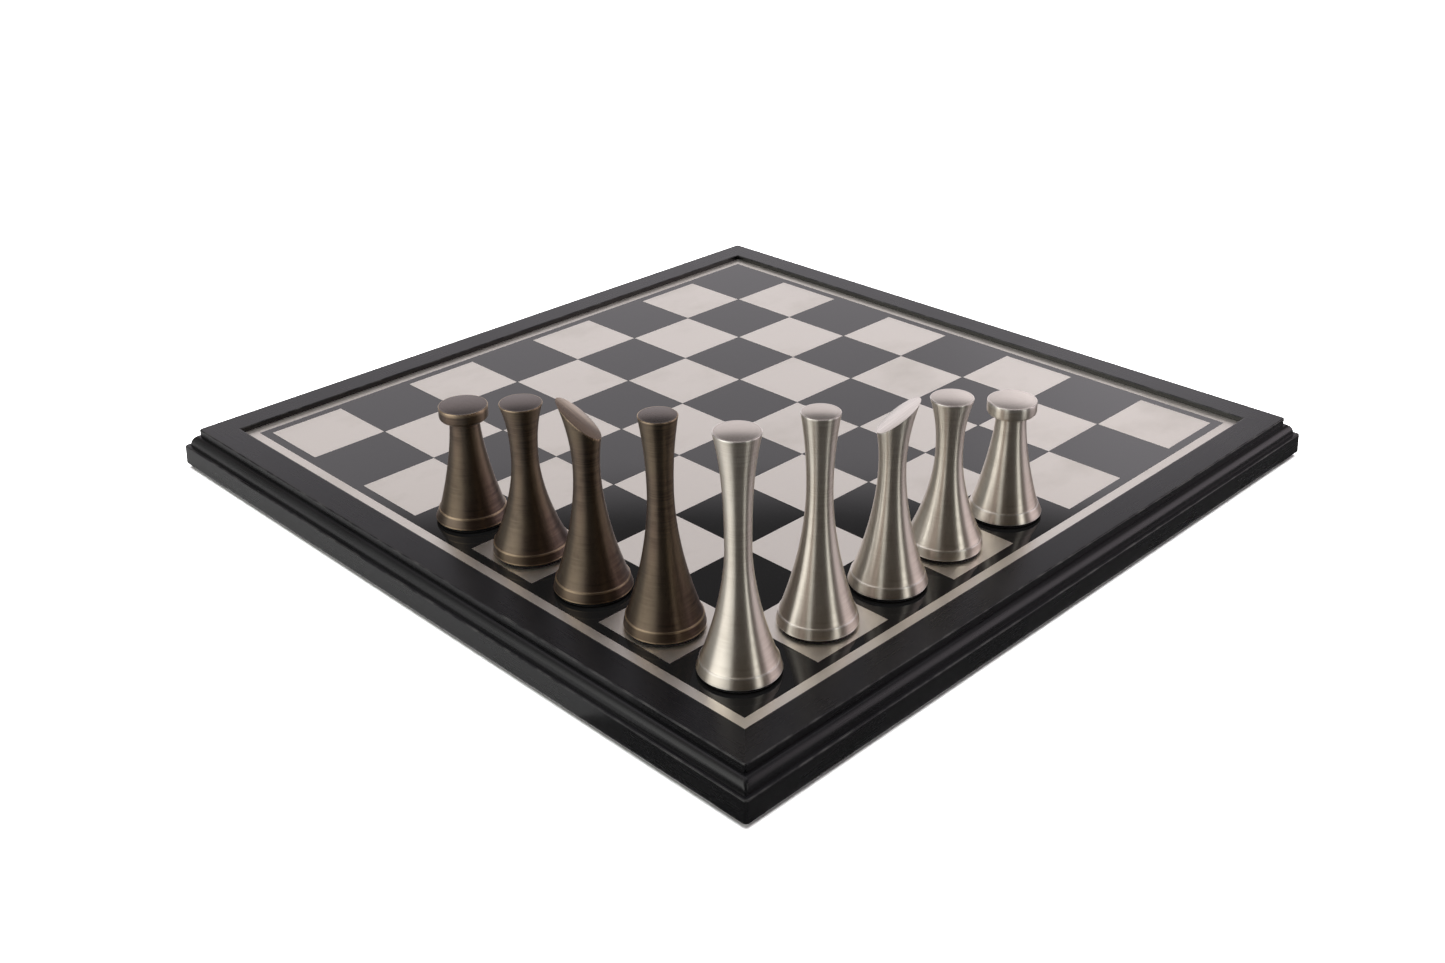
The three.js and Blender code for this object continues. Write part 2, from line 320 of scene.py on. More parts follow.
def plywood():
    """Plywood: thin plies one above another, each with its own grain."""
    f = Finish("plywood")
    f.set(Specular_IOR_Level=0.3)
    place = f.place()
    height = f.tree.nodes.new("ShaderNodeSeparateXYZ")
    f.feed(height.inputs[0], place)
    ply = f.math("PINGPONG", f.math("MULTIPLY", height.outputs["Z"], 700.0), 0.5)
    grain = f.noise(f.stretched(place, (160, 1500, 700)), 1.0, 4, 0.6)
    pale = f.mix(grain, (0.42, 0.28, 0.14, 1), (0.6, 0.43, 0.25, 1))
    f.link(f.mix(f.spread(ply, 0.2, 0.3), pale, (0.3, 0.18, 0.085, 1)), "Base Color")
    f.link(f.spread(grain, 0.2, 0.8, 0.6, 0.8), "Roughness")
    f.link(f.bump(grain, 0.00006, 0.6), "Normal")
    return f.material


def black_card():
    """Black card: matt with paper fibres."""
    f = Finish("black_card")
    f.set(Specular_IOR_Level=0.3)
    place = f.place()
    fibre = f.noise(place, 1100.0, 5, 0.75)
    cloud = f.noise(place, 35.0, 3)
    tone = f.math("MULTIPLY", f.spread(fibre, 0.3, 0.7), f.spread(cloud, 0.2, 0.8, 0.5, 1.0))
    f.link(f.mix(tone, grey(0.012), grey(0.03)), "Base Color")
    f.link(f.spread(fibre, 0.2, 0.8, 0.7, 0.88), "Roughness")
    f.link(f.bump(fibre, 0.00005, 0.6), "Normal")
    return f.material


def screw_steel():
    """Zinc plated steel with fine tool marks."""
    f = Finish("screw_steel")
    f.set(Metallic=1.0)
    local = f.place("local")
    marks = f.noise(f.stretched(local, (500, 500, 3000)), 1.0, 4, 0.6)
    f.link(f.mix(marks, (0.5, 0.49, 0.46, 1), (0.66, 0.65, 0.62, 1)), "Base Color")
    f.link(f.spread(marks, 0.2, 0.8, 0.28, 0.45), "Roughness")
    f.link(f.bump(marks, 0.00001, 0.5), "Normal")
    return f.material


FINISHES = {
    "painted_wood": painted_wood(),
    "brushed_plate": brushed_plate(),
    "black_enamel": black_enamel(),
    "black_felt": felt(),
    "panel_board": panel_board(),
    "plywood": plywood(),
    "black_card": black_card(),
    "screw_steel": screw_steel(),
}
# Each metal's rim colour goes on its marked edges: worn metal, and a painted highlight line.
METALS = {
    "silver_metal": {
        "colour": (0.8, 0.745, 0.66, 1),
        "flush": (0.77, 0.7, 0.61, 1),
        "stain": (0.42, 0.355, 0.28, 1),
        "rim": (0.95, 0.91, 0.85, 1),
        "patina": 0.5,
        "lacquer": 0.0,
        "roughness": (0.33, 0.45),
        "anisotropy": 0.96,
        "relief": 1.8,
    },
    "dark_metal": {
        "colour": (0.16, 0.12, 0.08, 1),
        "flush": (0.135, 0.09, 0.068, 1),
        "stain": (0.032, 0.021, 0.016, 1),
        "rim": (0.55, 0.42, 0.28, 1),
        "patina": 0.95,
        "lacquer": 0.4,
        "roughness": (0.44, 0.54),
        "anisotropy": 0.9,
        "relief": 1.5,
    },
}
# The top discs and the bishops' cut faces get a copy of each metal, smoother and unbrushed, with a
# darker colour than the sides: painted shade on the tops.
TOP_PAINTED_SHADE_COLOURS = {"silver_metal": (0.64, 0.59, 0.53, 1), "dark_metal": (0.105, 0.08, 0.067, 1)}
TOP_PATINA = 0.3
for metal_name, metal in METALS.items():
    FINISHES[metal_name] = turned_metal(metal_name, **metal)
    smooth = {
        "patina": metal["patina"] * TOP_PATINA,
        "roughness": (0.18, 0.21),
        "anisotropy": 0,
        "relief": 0.03,
        "colour": TOP_PAINTED_SHADE_COLOURS[metal_name],
        "flush": TOP_PAINTED_SHADE_COLOURS[metal_name],
    }
    FINISHES[f"{metal_name}_top"] = turned_metal(f"{metal_name}_top", **{**metal, **smooth})

# ----------------------------------------------------------- mesh helpers


def mesh_object(name, points, faces):
    mesh = bpy.data.meshes.new(name)
    mesh.from_pydata(points, [], faces)
    mesh.validate()
    made = bpy.data.objects.new(name, mesh)
    scene.collection.objects.link(made)
    return made


def arc(centre, radius, start, end, steps):
    """Points on an arc in a section, angles in degrees."""
    cx, cy = centre
    for i in range(steps + 1):
        angle = math.radians(start + (end - start) * i / steps)
        yield cx + radius * math.cos(angle), cy + radius * math.sin(angle)


ARC_STEPS = 4
EDGE_FADE = 0.12


def rounded(corners):
    """Points (x, y, edge mark) of a section with (x, y, radius) corners, each arc marked as worn
    and as a painted highlight.
    """
    count = len(corners)
    points = []
    for i, (x, y, radius) in enumerate(corners):
        here = Vector((x, y))
        if not radius:
            points.append((x, y, 0.0))
            continue
        before = Vector(corners[i - 1][:2]) - here
        after = Vector(corners[(i + 1) % count][:2]) - here
        angle = before.angle(after)
        reach = radius / math.tan(angle / 2)
        start = here + before.normalized() * reach
        end = here + after.normalized() * reach
        points.append((*(start + before.normalized() * EDGE_FADE), 0.0))
        for k in range(ARC_STEPS + 1):
            t = k / ARC_STEPS
            bent = start * (1 - t) ** 2 + here * 2 * t * (1 - t) + end * t ** 2
            points.append((bent.x, bent.y, 1.0))
        points.append((*(end + after.normalized() * EDGE_FADE), 0.0))
    return points


def lathe(name, profile, sides):
    """A solid of revolution about Z from (radius, height, edge mark) points; the edge mark is wear
    and a painted highlight.
    """
    points, edge_wear_and_highlight, rings = [], [], []
    for radius, height, worn_and_highlighted in profile:
        if radius <= 0:
            rings.append([len(points)])
            points.append((0, 0, height))
            edge_wear_and_highlight.append(worn_and_highlighted)
            continue
        rings.append(list(range(len(points), len(points) + sides)))
        for k in range(sides):
            angle = 2 * math.pi * k / sides
            points.append((radius * math.cos(angle), radius * math.sin(angle), height))
            edge_wear_and_highlight.append(worn_and_highlighted)
    faces = []
    for lower, upper in zip(rings, rings[1:]):
        for k in range(sides):
            n = (k + 1) % sides
            if len(lower) == 1:
                faces.append((lower[0], upper[n], upper[k]))
            elif len(upper) == 1:
                faces.append((lower[k], lower[n], upper[0]))
            else:
                faces.append((lower[k], lower[n], upper[n], upper[k]))
    made = mesh_object(name, points, faces)
    store(made, "edge_wear_and_highlight", edge_wear_and_highlight)
    return made


def store(made, name, values, kind="FLOAT", domain="POINT"):
    """Keeps numbers or vectors on a mesh, for its material to read."""
    layer = made.data.attributes.new(name, kind, domain)
    key = "value" if kind == "FLOAT" else "vector"
    flat = values if kind == "FLOAT" else [number for vector in values for number in vector]
    layer.data.foreach_set(key, flat)


def finish_piece(made, finish, body, replaced, soft_angle=35, second=None):
    """Local coordinates for the finish, shading, material, body and stand-in."""
    store(made, "local", [tuple(v.co) for v in made.data.vertices], "FLOAT_VECTOR")
    made.data.shade_smooth()
    made.data.set_sharp_from_angle(angle=math.radians(soft_angle))
    made.data.materials.clear()
    made.data.materials.append(FINISHES[finish])
    if second:
        made.data.materials.append(FINISHES[second])
    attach(made, body)
    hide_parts(*replaced)
    return made


def node_body(node):
    """The body that holds a CAD node."""
    for body, members in RECORD["behaviour"]["bodies"].items():
        if node in members:
            return body


def middle(node):
    """Middle of a CAD node's footprint, at its lowest height."""
    low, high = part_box(node)
    return Vector(((low.x + high.x) / 2, (low.y + high.y) / 2, low.z))


# ---------------------------------------------------------- turned pieces

TURN_SIDES = 144
BASE_RADIUS = 15
BASE_TOP = 5.7
BASE_LIP = 0.5
BASE_BEVEL = 0.3
PAD_THICKNESS = 1.4
DOME = 0.5
DOME_RINGS = 12
RIM = 0.28
CUT_CENTRE = 68.0
CUT_SLOPES = {"dark_bishop": math.radians(43.5), "silver_bishop": math.radians(39.5)}
CUT_BEVEL = 0.32
CUT_RIM_WEAR_AND_HIGHLIGHT = 0.4
ABOVE_BASE = 50
ROOK_CAP = {"radius": 9.75, "height": 5.9, "round": 1.8}

# Each kind's flared side: its height, its radius at the foot, waist and crown,
# the waist's height, and the power of its curve below and above the waist.
SIDE_FIELDS = ("height", "foot", "waist", "waist_at", "crown", "low", "high")
SIDE = {
    kind: dict(zip(SIDE_FIELDS, values))
    for kind, values in {
        "rook": (50, 13, 5.9, 44.1, 5.9, 1.6, 1),
        "knight": (63.6, 14.2, 5.2, 41, 8.4, 1.8, 2.4),
        "bishop": (80, 13.5, 5, 50, 10.6, 1.85, 1.95),
        "queen": (83.6, 13.8, 4.7, 54.6, 7.05, 1.85, 2.1),
        "king": (91, 13.5, 4.65, 47.5, 8.25, 1.7, 2.75),
    }.items()
}


def side_radius(side, height):
    """Radius of the flared side, which is narrowest at the waist."""
    if height < side["waist_at"]:
        down = (side["waist_at"] - height) / (side["waist_at"] - BASE_TOP)
        return side["waist"] + (side["foot"] - side["waist"]) * down ** side["low"]
    up = (height - side["waist_at"]) / (side["height"] - side["waist_at"])
    return side["waist"] + (side["crown"] - side["waist"]) * up ** side["high"]


def base_profile(side):
    """Base band with a bevelled lip, up to the foot of the flared side."""
    lip = side["foot"] + BASE_LIP
    corner = BASE_RADIUS - BASE_BEVEL
    band_bottom = PAD_THICKNESS + BASE_BEVEL
    band_height = BASE_TOP - 0.65 - PAD_THICKNESS
    yield 0, PAD_THICKNESS, 0
    yield 13, PAD_THICKNESS, 0
    yield corner, PAD_THICKNESS, 0.6
    for x, y in arc((corner, band_bottom), BASE_BEVEL, -70, 0, 3):
        yield x, y, 1
    for i in range(1, 8):
        t = i / 8
        yield BASE_RADIUS + (lip - BASE_RADIUS) * t, band_bottom + band_height * t, 0
    for x, y in arc((lip - BASE_BEVEL, BASE_TOP - BASE_BEVEL), BASE_BEVEL, 0, 80, 3):
        yield x, y, 1
    yield side["foot"] + 0.1, BASE_TOP + 0.02, 0.5
    yield side["foot"] - 0.02, BASE_TOP + 0.12, 0


def side_profile(side, start, end, steps):
    """The flared side between two heights."""
    for i in range(steps + 1):
        height = start + (end - start) * i / steps
        yield side_radius(side, height), height, 0


def dome_profile(radius, height):
    """A small rounded rim and a gently domed top."""
    edge = height - DOME
    for x, y in arc((radius - RIM, edge - RIM * 0.2), RIM, 0, 78, 4):
        yield x, y, 1
    inner = radius - RIM * 1.6
    for i in range(DOME_RINGS):
        r = inner * (1 - i / DOME_RINGS)
        yield r, height - (DOME - RIM * 0.75) * (r / inner) ** 2, 0
    yield 0, height, 0


def rook_profile(side):
    """Base, side, and a wide flat cap with a rounded lower edge."""
    yield from base_profile(side)
    under = side["height"] - ROOK_CAP["height"]
    yield from side_profile(side, BASE_TOP + 0.4, under - 0.2, 60)
    cap, curve = ROOK_CAP["radius"], ROOK_CAP["round"]
    yield side["crown"] + 0.25, under, 0
    yield cap - curve - 0.4, under, 0
    for x, y in arc((cap - curve, under + curve), curve, -85, 0, 10):
        yield x, y, 0
    yield cap, side["height"] - DOME - 1.5, 0
    yield from dome_profile(cap, side["height"])


def flared_profile(side):
    """Base and side up to a domed top at the crown."""
    yield from base_profile(side)
    yield from side_profile(side, BASE_TOP + 0.4, side["height"] - DOME - 0.4, 110)
    yield from dome_profile(side_radius(side, side["height"] - DOME), side["height"])


def slice_top(made, heading, steep):
    """Cuts a bishop's top by a slanting plane, softens the rim, gives the normal."""
    slope = Vector((
        -math.sin(steep) * math.cos(heading),
        -math.sin(steep) * math.sin(heading),
        math.cos(steep),
    ))
    centre = Vector((0, 0, CUT_CENTRE * MM))
    bm = bmesh.new()
    bm.from_mesh(made.data)
    edge_wear_and_highlight = bm.verts.layers.float["edge_wear_and_highlight"]
    parts = bm.verts[:] + bm.edges[:] + bm.faces[:]
    cut = bmesh.ops.bisect_plane(
        bm, geom=parts, dist=1e-7, plane_co=centre, plane_no=slope, clear_outer=True
    )
    rim = [e for e in cut["geom_cut"] if isinstance(e, bmesh.types.BMEdge)]
    bmesh.ops.contextual_create(bm, geom=rim)
    bmesh.ops.bevel(
        bm, geom=rim, offset=CUT_BEVEL * MM, offset_type="OFFSET", segments=3,
        profile=0.5, affect="EDGES", clamp_overlap=True,
    )
    # The cut's rim gets the edge mark: wear, and a painted highlight line.
    for vertex in bm.verts:
        off = abs((vertex.co - centre).dot(slope))
        outward = Vector((vertex.co.x, vertex.co.y)).length
        if off < CUT_RIM_WEAR_AND_HIGHLIGHT * MM and outward > 0:
            vertex[edge_wear_and_highlight] = 1.0 if off > 1e-6 else 0.6
    bm.to_mesh(made.data)
    bm.free()
    return slope


def lies_on(cut, face):
    """Whether a face is part of a bishop's slanting cut."""
    return face.normal.dot(cut) > 0.999 and face.center.z > ABOVE_BASE * MM


def store_brush(made, cut=None, heading=0.0):
    """The distance across the brush lines: round the axis, straight on a cut."""
    across = Vector((-math.sin(heading), math.cos(heading), 0))
    values = []
    for face in made.data.polygons:
        on_cut = cut is not None and lies_on(cut, face)
        for index in face.vertices:
            co = made.data.vertices[index].co
            turned = co.z + Vector((co.x, co.y)).length
            values.append(co.dot(across) if on_cut else turned)
    store(made, "brush", values, domain="CORNER")


def mark_top(made, cut):
    """Gives the top disc, or a bishop's cut face, the second material."""
    level = max(v.co.z for v in made.data.vertices) - DOME * MM
    for face in made.data.polygons:
        if cut is None:
            chosen = face.center.z > level and face.normal.z > 0.97
        else:
            chosen = lies_on(cut, face)
        face.material_index = 1 if chosen else 0


def cut_heading(node):
    """Heading of a bishop's high side: the sliced body's top leans that way."""
    low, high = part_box(node)
    centre = middle(node)
    top = [v.co for v in frame["nodes"][node].data.vertices if v.co.z > high.z - 2 * MM]
    lean = sum((Vector((co.x - centre.x, co.y - centre.y)) for co in top), Vector((0, 0)))
    return math.atan2(lean.y, lean.x)


def make_piece(name, kind):
    """A turned body in place of its CAD node, standing where the node stands."""
    side = SIDE[kind]
    node = f"{name}_body"
    profile = rook_profile(side) if kind == "rook" else flared_profile(side)
    scaled = [(r * MM, h * MM, worn_and_highlighted) for r, h, worn_and_highlighted in profile]
    made = lathe(name, scaled, TURN_SIDES)
    cut, heading = None, 0.0
    if kind == "bishop":
        heading = cut_heading(node)
        cut = slice_top(made, heading, CUT_SLOPES[name])
    store_brush(made, cut, heading)
    place = middle(node)
    made.location = (place.x, place.y, place.z - PAD_THICKNESS * MM)
    metal = "dark_metal" if name.startswith("dark") else "silver_metal"
    finish_piece(made, metal, node_body(node), [node], second=f"{metal}_top")
    mark_top(made, cut)


FELT_SIDES = 96
FELT_GRAIN = 900
PAD_LUMP = 0.12 * MM
FOOT_LUMP = 0.1 * MM


def make_felt_disc(name, node, lump):
    """A felt disc with a soft rounded edge and a slightly uneven face."""
    low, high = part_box(node)
    radius = (high.x - low.x) / 2
    thick = high.z - low.z
    curve = thick * 0.4
    profile = [(0, 0, 0)]
    profile += [(radius * i / 10, 0, 0) for i in range(1, 9)]
    profile += [(x, y, 0) for x, y in arc((radius - curve, curve), curve, -90, 0, 6)]
    profile += [(x, y, 0) for x, y in arc((radius - curve, thick - curve), curve, 0, 90, 6)]
    profile += [(radius * i / 10, thick, 0) for i in range(8, 0, -1)]
    profile += [(0, thick, 0)]
    made = lathe(name, profile, FELT_SIDES)
    place = middle(node)
    for vertex in made.data.vertices:
        co = vertex.co
        if 0.0 < co.z < thick:
            swell = noise.noise(co * FELT_GRAIN + place * 50) * lump
            out = Vector((co.x, co.y, 0))
            vertex.co = co + out.normalized() * min(swell, 0.0)
    made.location = place
    finish_piece(made, "black_felt", node_body(node), [node], 60)


def piece_names():
    """Piece names and their kinds, read from the record's bodies."""
    for body in RECORD["behaviour"]["bodies"]:
        if body != "board":
            yield body, body.rsplit("_", 1)[1]


for piece_name, piece_kind in piece_names():
    make_piece(piece_name, piece_kind)
    make_felt_disc(f"{piece_name}_felt", f"{piece_name}_pad", PAD_LUMP)

# ------------------------------------------------------------------ frame

# A rail's section: distances out from the playing field, and heights.
LEDGE_OUT = 8.2
LEDGE_HEIGHT = 5
TOP_OUT = 21.6
BEAD_MIDDLE = 22.1
BEAD_WIDTH = 3.2
BEAD_HEIGHT = 4.4
BEAD_BELOW_TOP = 3.5
BEAD_STEPS = 14
BAND_OUTER = 27.7
BAND_INNER = 25.4
BAND_HEIGHT = 10
BAND_CHAMFER = 1.4
BAND_LEAN = 0.5

RAIL_STATIONS = 150
CORNER_STATIONS = 5
CORNER_ROUND = 1.4
LEAST_ROUND = 0.04
MITRE_GAP = 0.002

# The rails' outside is a little uneven, less so near the corners.
WAVE_HEIGHT = 0.05
WAVES_ALONG = 14
WAVES_ACROSS = 0.25
WAVY_FROM = 9
CALM_LENGTH = 25

SIDES = ("near", "right", "far", "left")
CORNERS = ("near_left", "near_right", "far_right", "far_left")
rail_low, rail_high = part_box("frame_rail_near")
FIELD_EDGE = -rail_low.y / MM - BAND_OUTER
RAIL_BOTTOM = rail_low.z / MM
RAIL_TOP = rail_high.z / MM


def rail_section():
    """Section of a rail: x outward from the playing field, y up."""
    bead_top = RAIL_TOP - BEAD_BELOW_TOP
    bead_bottom = bead_top - BEAD_HEIGHT
    band_top = RAIL_BOTTOM + BAND_HEIGHT
    corners = [
        (0, RAIL_BOTTOM, 0.2),
        (BAND_OUTER - BAND_CHAMFER, RAIL_BOTTOM, 0.3),
        (BAND_OUTER, RAIL_BOTTOM + BAND_CHAMFER, 0.5),
        (BAND_OUTER - BAND_LEAN, band_top, 0.55),
        (BAND_INNER, band_top, 0),
    ]
    for i in range(BEAD_STEPS + 1):
        angle = math.radians(4 + 84 * i / BEAD_STEPS)
        out = BEAD_MIDDLE + BEAD_WIDTH * math.cos(angle)
        corners.append((out, bead_bottom + BEAD_HEIGHT * math.sin(angle), 0))
    corners += [
        (22.0, bead_top, 0),
        (TOP_OUT, bead_top, 0),
        (TOP_OUT, RAIL_TOP, 0.55),
        (LEDGE_OUT, RAIL_TOP, 0.5),
        (LEDGE_OUT, RAIL_BOTTOM + LEDGE_HEIGHT, 0),
        (0, RAIL_BOTTOM + LEDGE_HEIGHT, 0.2),
    ]
    return rounded(corners)


def smoothly(value, low, high):
    """Zero below low, one above high, with a smooth change between."""
    t = min(max((value - low) / (high - low), 0.0), 1.0)
    return t * t * (3 - 2 * t)


def rail_stations():
    """Places along a rail: the share of its straight part, then the corner's turn."""
    turns = [math.pi / 4 * (i + 1) / CORNER_STATIONS for i in range(CORNER_STATIONS)]
    yield from ((-1.0, turn) for turn in reversed(turns))
    yield from ((2 * i / RAIL_STATIONS - 1, 0.0) for i in range(RAIL_STATIONS + 1))
    yield from ((1.0, turn) for turn in turns)


def rail_blank(name, seed):
    """A rail along X on the -Y side, mitred, with softly rounded outer corners."""
    section = rail_section()
    count = len(section)
    stations = list(rail_stations())
    points, edge_wear_and_highlight = [], []
    for along, turn in stations:
        for x, y, worn_and_highlighted in section:
            bend = LEAST_ROUND + CORNER_ROUND * smoothly(x, TOP_OUT - 1.0, TOP_OUT - 0.1)
            straight = FIELD_EDGE + x - MITRE_GAP - bend
            run = math.copysign(abs(along) * straight + bend * math.sin(turn), along)
            out = FIELD_EDGE + x - bend * (1 - math.cos(turn))
            at = (run * MM * WAVES_ALONG, x * WAVES_ACROSS + seed * 9.7, y * WAVES_ACROSS)
            calm = smoothly(straight - abs(run), 0, CALM_LENGTH)
            outside = x > WAVY_FROM and y > RAIL_BOTTOM + 1
            wave = WAVE_HEIGHT * calm * noise.noise(Vector(at)) if outside else 0
            points.append((run * MM, -out * MM, (y + min(wave, 0)) * MM))
            edge_wear_and_highlight.append(worn_and_highlighted)
    last = len(stations) - 1
    faces = [tuple(range(count)), tuple(last * count + i for i in reversed(range(count)))]
    for station in range(last):
        for i in range(count):
            a = station * count + i
            b = station * count + (i + 1) % count
            faces.append((a, a + count, b + count, b))
    made = mesh_object(name, points, faces)
    store(made, "edge_wear_and_highlight", edge_wear_and_highlight)
    bm = bmesh.new()
    bm.from_mesh(made.data)
    bmesh.ops.recalc_face_normals(bm, faces=bm.faces)
    bm.to_mesh(made.data)
    bm.free()
    return made


SCREW_SIDES = 48
SCREW_HEAD = 2.9
SCREW_SHANK = 1.4
SCREW_SINK = 0.4
SCREW_CONE = 1.6
SCREW_TIP = 12.3
THREAD_END = 9.2
THREAD_PITCH = 0.9
THREAD_DEPTH = 0.25
HOLE_SIDES = 32
HOLE_GAP = 0.1
RECESS = Vector((3.0, 0.62, 2.2)) * MM
RECESS_TURN = 0.4
KEY_SLOT = (16.6, 8.6)
KEY_GAP = 0.6


def screw_profile():
    """Countersunk screw, upside down: its head is at the bottom."""
    root = SCREW_SHANK - THREAD_DEPTH
    points = [
        (0, SCREW_SINK),
        (SCREW_HEAD - 0.25, SCREW_SINK),
        (SCREW_HEAD, SCREW_SINK + 0.15),
        (SCREW_HEAD, SCREW_SINK + 0.25),
        (SCREW_SHANK, SCREW_SINK + SCREW_CONE),
    ]
    height = SCREW_SINK + 2.2
    while height < THREAD_END:
        points += [(root, height), (SCREW_SHANK, height + 0.3), (root, height + 0.6)]
        height += THREAD_PITCH
    return points + [(0, SCREW_TIP)]


def hole_profile():
    """The screw's hole, a little wider than the screw and open below."""
    head, shank = SCREW_HEAD + HOLE_GAP, SCREW_SHANK + HOLE_GAP
    return [
        (0, -0.8),
        (head, -0.8),
        (head, SCREW_SINK + HOLE_GAP),
        (shank, SCREW_SINK + SCREW_CONE + HOLE_GAP),
        (shank, 9.6),
        (0, SCREW_TIP + 0.3),
    ]


def cut_away(made, cutter):
    """Subtracts a cutter from a piece and removes the cutter."""
    modifier = made.modifiers.new("cut", "BOOLEAN")
    modifier.operation = "DIFFERENCE"
    modifier.solver = "EXACT"
    modifier.object = cutter
    graph = bpy.context.evaluated_depsgraph_get()
    mesh = bpy.data.meshes.new_from_object(
        made.evaluated_get(graph), preserve_all_data_layers=True, depsgraph=graph
    )
    made.modifiers.clear()
    made.data = mesh
    bpy.data.objects.remove(cutter)


def to_near_side(point, turn):
    """A point of one side, turned back onto the -Y side."""
    return Matrix.Rotation(-turn, 3, "Z") @ point


def block_object(name, size, at, turn):
    """A plain block for cutting, turned about Z."""
    bm = bmesh.new()
    bmesh.ops.create_cube(bm, size=1)
    bmesh.ops.scale(bm, vec=size, verts=bm.verts)
    bmesh.ops.rotate(bm, matrix=Matrix.Rotation(turn, 3, "Z"), verts=bm.verts)
    bmesh.ops.translate(bm, vec=at, verts=bm.verts)
    mesh = bpy.data.meshes.new(name)
    bm.to_mesh(mesh)
    bm.free()
    made = bpy.data.objects.new(name, mesh)
    scene.collection.objects.link(made)
    return made


def make_rail(index):
    """One rail with its screw holes and key slots, turned onto its side."""
    side = SIDES[index]
    turn = index * math.pi / 2
    made = rail_blank(f"rail_{side}", index)
    for number in (1, 2):
        place = to_near_side(middle(f"panel_screw_{side}_{number}"), turn)
        hole = [(r * MM, h * MM, 0) for r, h in hole_profile()]
        cutter = lathe("cutter", hole, HOLE_SIDES)
        cutter.location = (place.x, place.y, RAIL_BOTTOM * MM)
        bpy.context.view_layer.update()
        cut_away(made, cutter)
    for sign, corner in ((-1, CORNERS[index]), (1, CORNERS[(index + 1) % 4])):
        low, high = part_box(f"corner_key_{corner}")
        centre = to_near_side((low + high) / 2, turn)
        size = Vector((*KEY_SLOT, (high.z - low.z) / MM + KEY_GAP)) * MM
        cut_away(made, block_object("cutter", size, centre, sign * math.pi / 4))
    made.rotation_euler.z = turn
    finish_piece(made, "painted_wood", "board", [f"frame_rail_{side}"], 40)


def make_screw(side, number):
    """A countersunk screw with a cross recess in its head."""
    node = f"panel_screw_{side}_{number}"
    profile = [(r * MM, h * MM, 0) for r, h in screw_profile()]
    made = lathe(f"screw_{side}_{number}", profile, SCREW_SIDES)
    at = Vector((0, 0, SCREW_SINK * MM))
    for turn in (0, math.pi / 2):
        cut_away(made, block_object("cutter", RECESS, at, turn + RECESS_TURN * number))
    place = middle(node)
    made.location = (place.x, place.y, RAIL_BOTTOM * MM)
    finish_piece(made, "screw_steel", "board", [node])


for rail_index in range(4):
    make_rail(rail_index)
    for screw_number in (1, 2):
        make_screw(SIDES[rail_index], screw_number)
    foot_corner = CORNERS[rail_index]
    make_felt_disc(f"foot_{foot_corner}", f"felt_foot_{foot_corner}", FOOT_LUMP)

KEPT_NODES = {
    "playing_plate": "brushed_plate",
    "enamel_field": "black_enamel",
    "core_panel": "panel_board",
    "backing_card": "black_card",
    "corner_key_near_left": "plywood",
    "corner_key_near_right": "plywood",
    "corner_key_far_right": "plywood",
    "corner_key_far_left": "plywood",
}
for kept_name, kept_finish in KEPT_NODES.items():
    kept = frame["nodes"][kept_name]
    kept.data.materials.clear()
    kept.data.materials.append(FINISHES[kept_finish])

# ----------------------------------------------------------------- studio

FLOOR_SIZE = 4.2
FLAG_GAP = 0.001
FLAG_OUTER = 3.0
FLAG_HEIGHT = 0.0005
FLAG_STEPS = 30
# Cards seen only in reflections, by heading, with their greys: a painted reflection of a shaded
# floor, darkest towards the camera.
REFLECTED_FLOOR_SHADES = [
    ("reflected_floor_shade_front", 208, 350, 0.035),
    ("reflected_floor_shade_left", 100, 208, 0.2),
    ("reflected_floor_shade_back", -10, 100, 0.2),
]
TOP_LIGHT = {"size": 2.6, "height": 2.2, "power": 200.0}

# Tinted brightness by heading in degrees, counted from +X to +Y: a pale wall
# behind the board, a wide soft light on the left, dark behind the camera with
# one narrow light, and a weaker wide light on the right.
TINTS = {
    "wall": (1.0, 0.95, 1.0),
    "left": (1.0, 1.0, 0.97),
    "dark": (1.0, 0.84, 0.7),
    "right": (1.0, 0.89, 0.95),
}
LOW_ROUND = [
    (0, 0.3, "right"), (20, 0.3, "right"), (25, 1.3, "wall"), (30, 1.3, "wall"),
    (37, 0.93, "wall"), (58, 0.93, "wall"), (68, 0.95, "wall"), (76, 0.8, "wall"),
    (84, 0.3, "dark"), (112, 0.28, "left"), (133, 0.4, "left"), (143, 2.3, "left"),
    (165, 2.4, "left"), (181, 2.0, "left"), (196, 1.5, "left"), (207, 0.05, "dark"),
    (266, 0.05, "dark"), (271, 2.6, "left"), (279, 2.6, "left"), (284, 0.1, "dark"),
    (300, 0.1, "dark"), (312, 1.55, "right"), (338, 1.5, "right"), (350, 0.4, "right"),
]
HIGH_ROUND = [
    (0, 0.12, "dark"), (40, 0.12, "wall"), (100, 0.1, "dark"), (133, 0.35, "left"),
    (142, 2.1, "left"), (167, 2.2, "left"), (177, 1.1, "left"), (187, 0.4, "left"),
    (200, 0.05, "dark"), (266, 0.05, "dark"), (271, 2.5, "left"), (279, 2.5, "left"),
    (284, 0.1, "dark"), (300, 0.1, "dark"), (312, 1.1, "right"), (338, 1.0, "right"),
    (350, 0.12, "dark"),
]
TOP_ROUND = [
    (0, 0.4, "wall"), (30, 0.9, "wall"), (95, 0.9, "wall"), (130, 0.35, "dark"),
    (142, 1.4, "left"), (168, 1.2, "left"), (185, 0.1, "dark"), (300, 0.05, "dark"),
    (314, 0.25, "right"), (340, 0.25, "right"), (350, 0.3, "wall"),
]
BRIGHTEST = 2.6

# Heights in degrees where one round changes into the next.
LOW_TO_HIGH = (27.0, 29.5)
HIGH_TO_TOP = (41, 47)


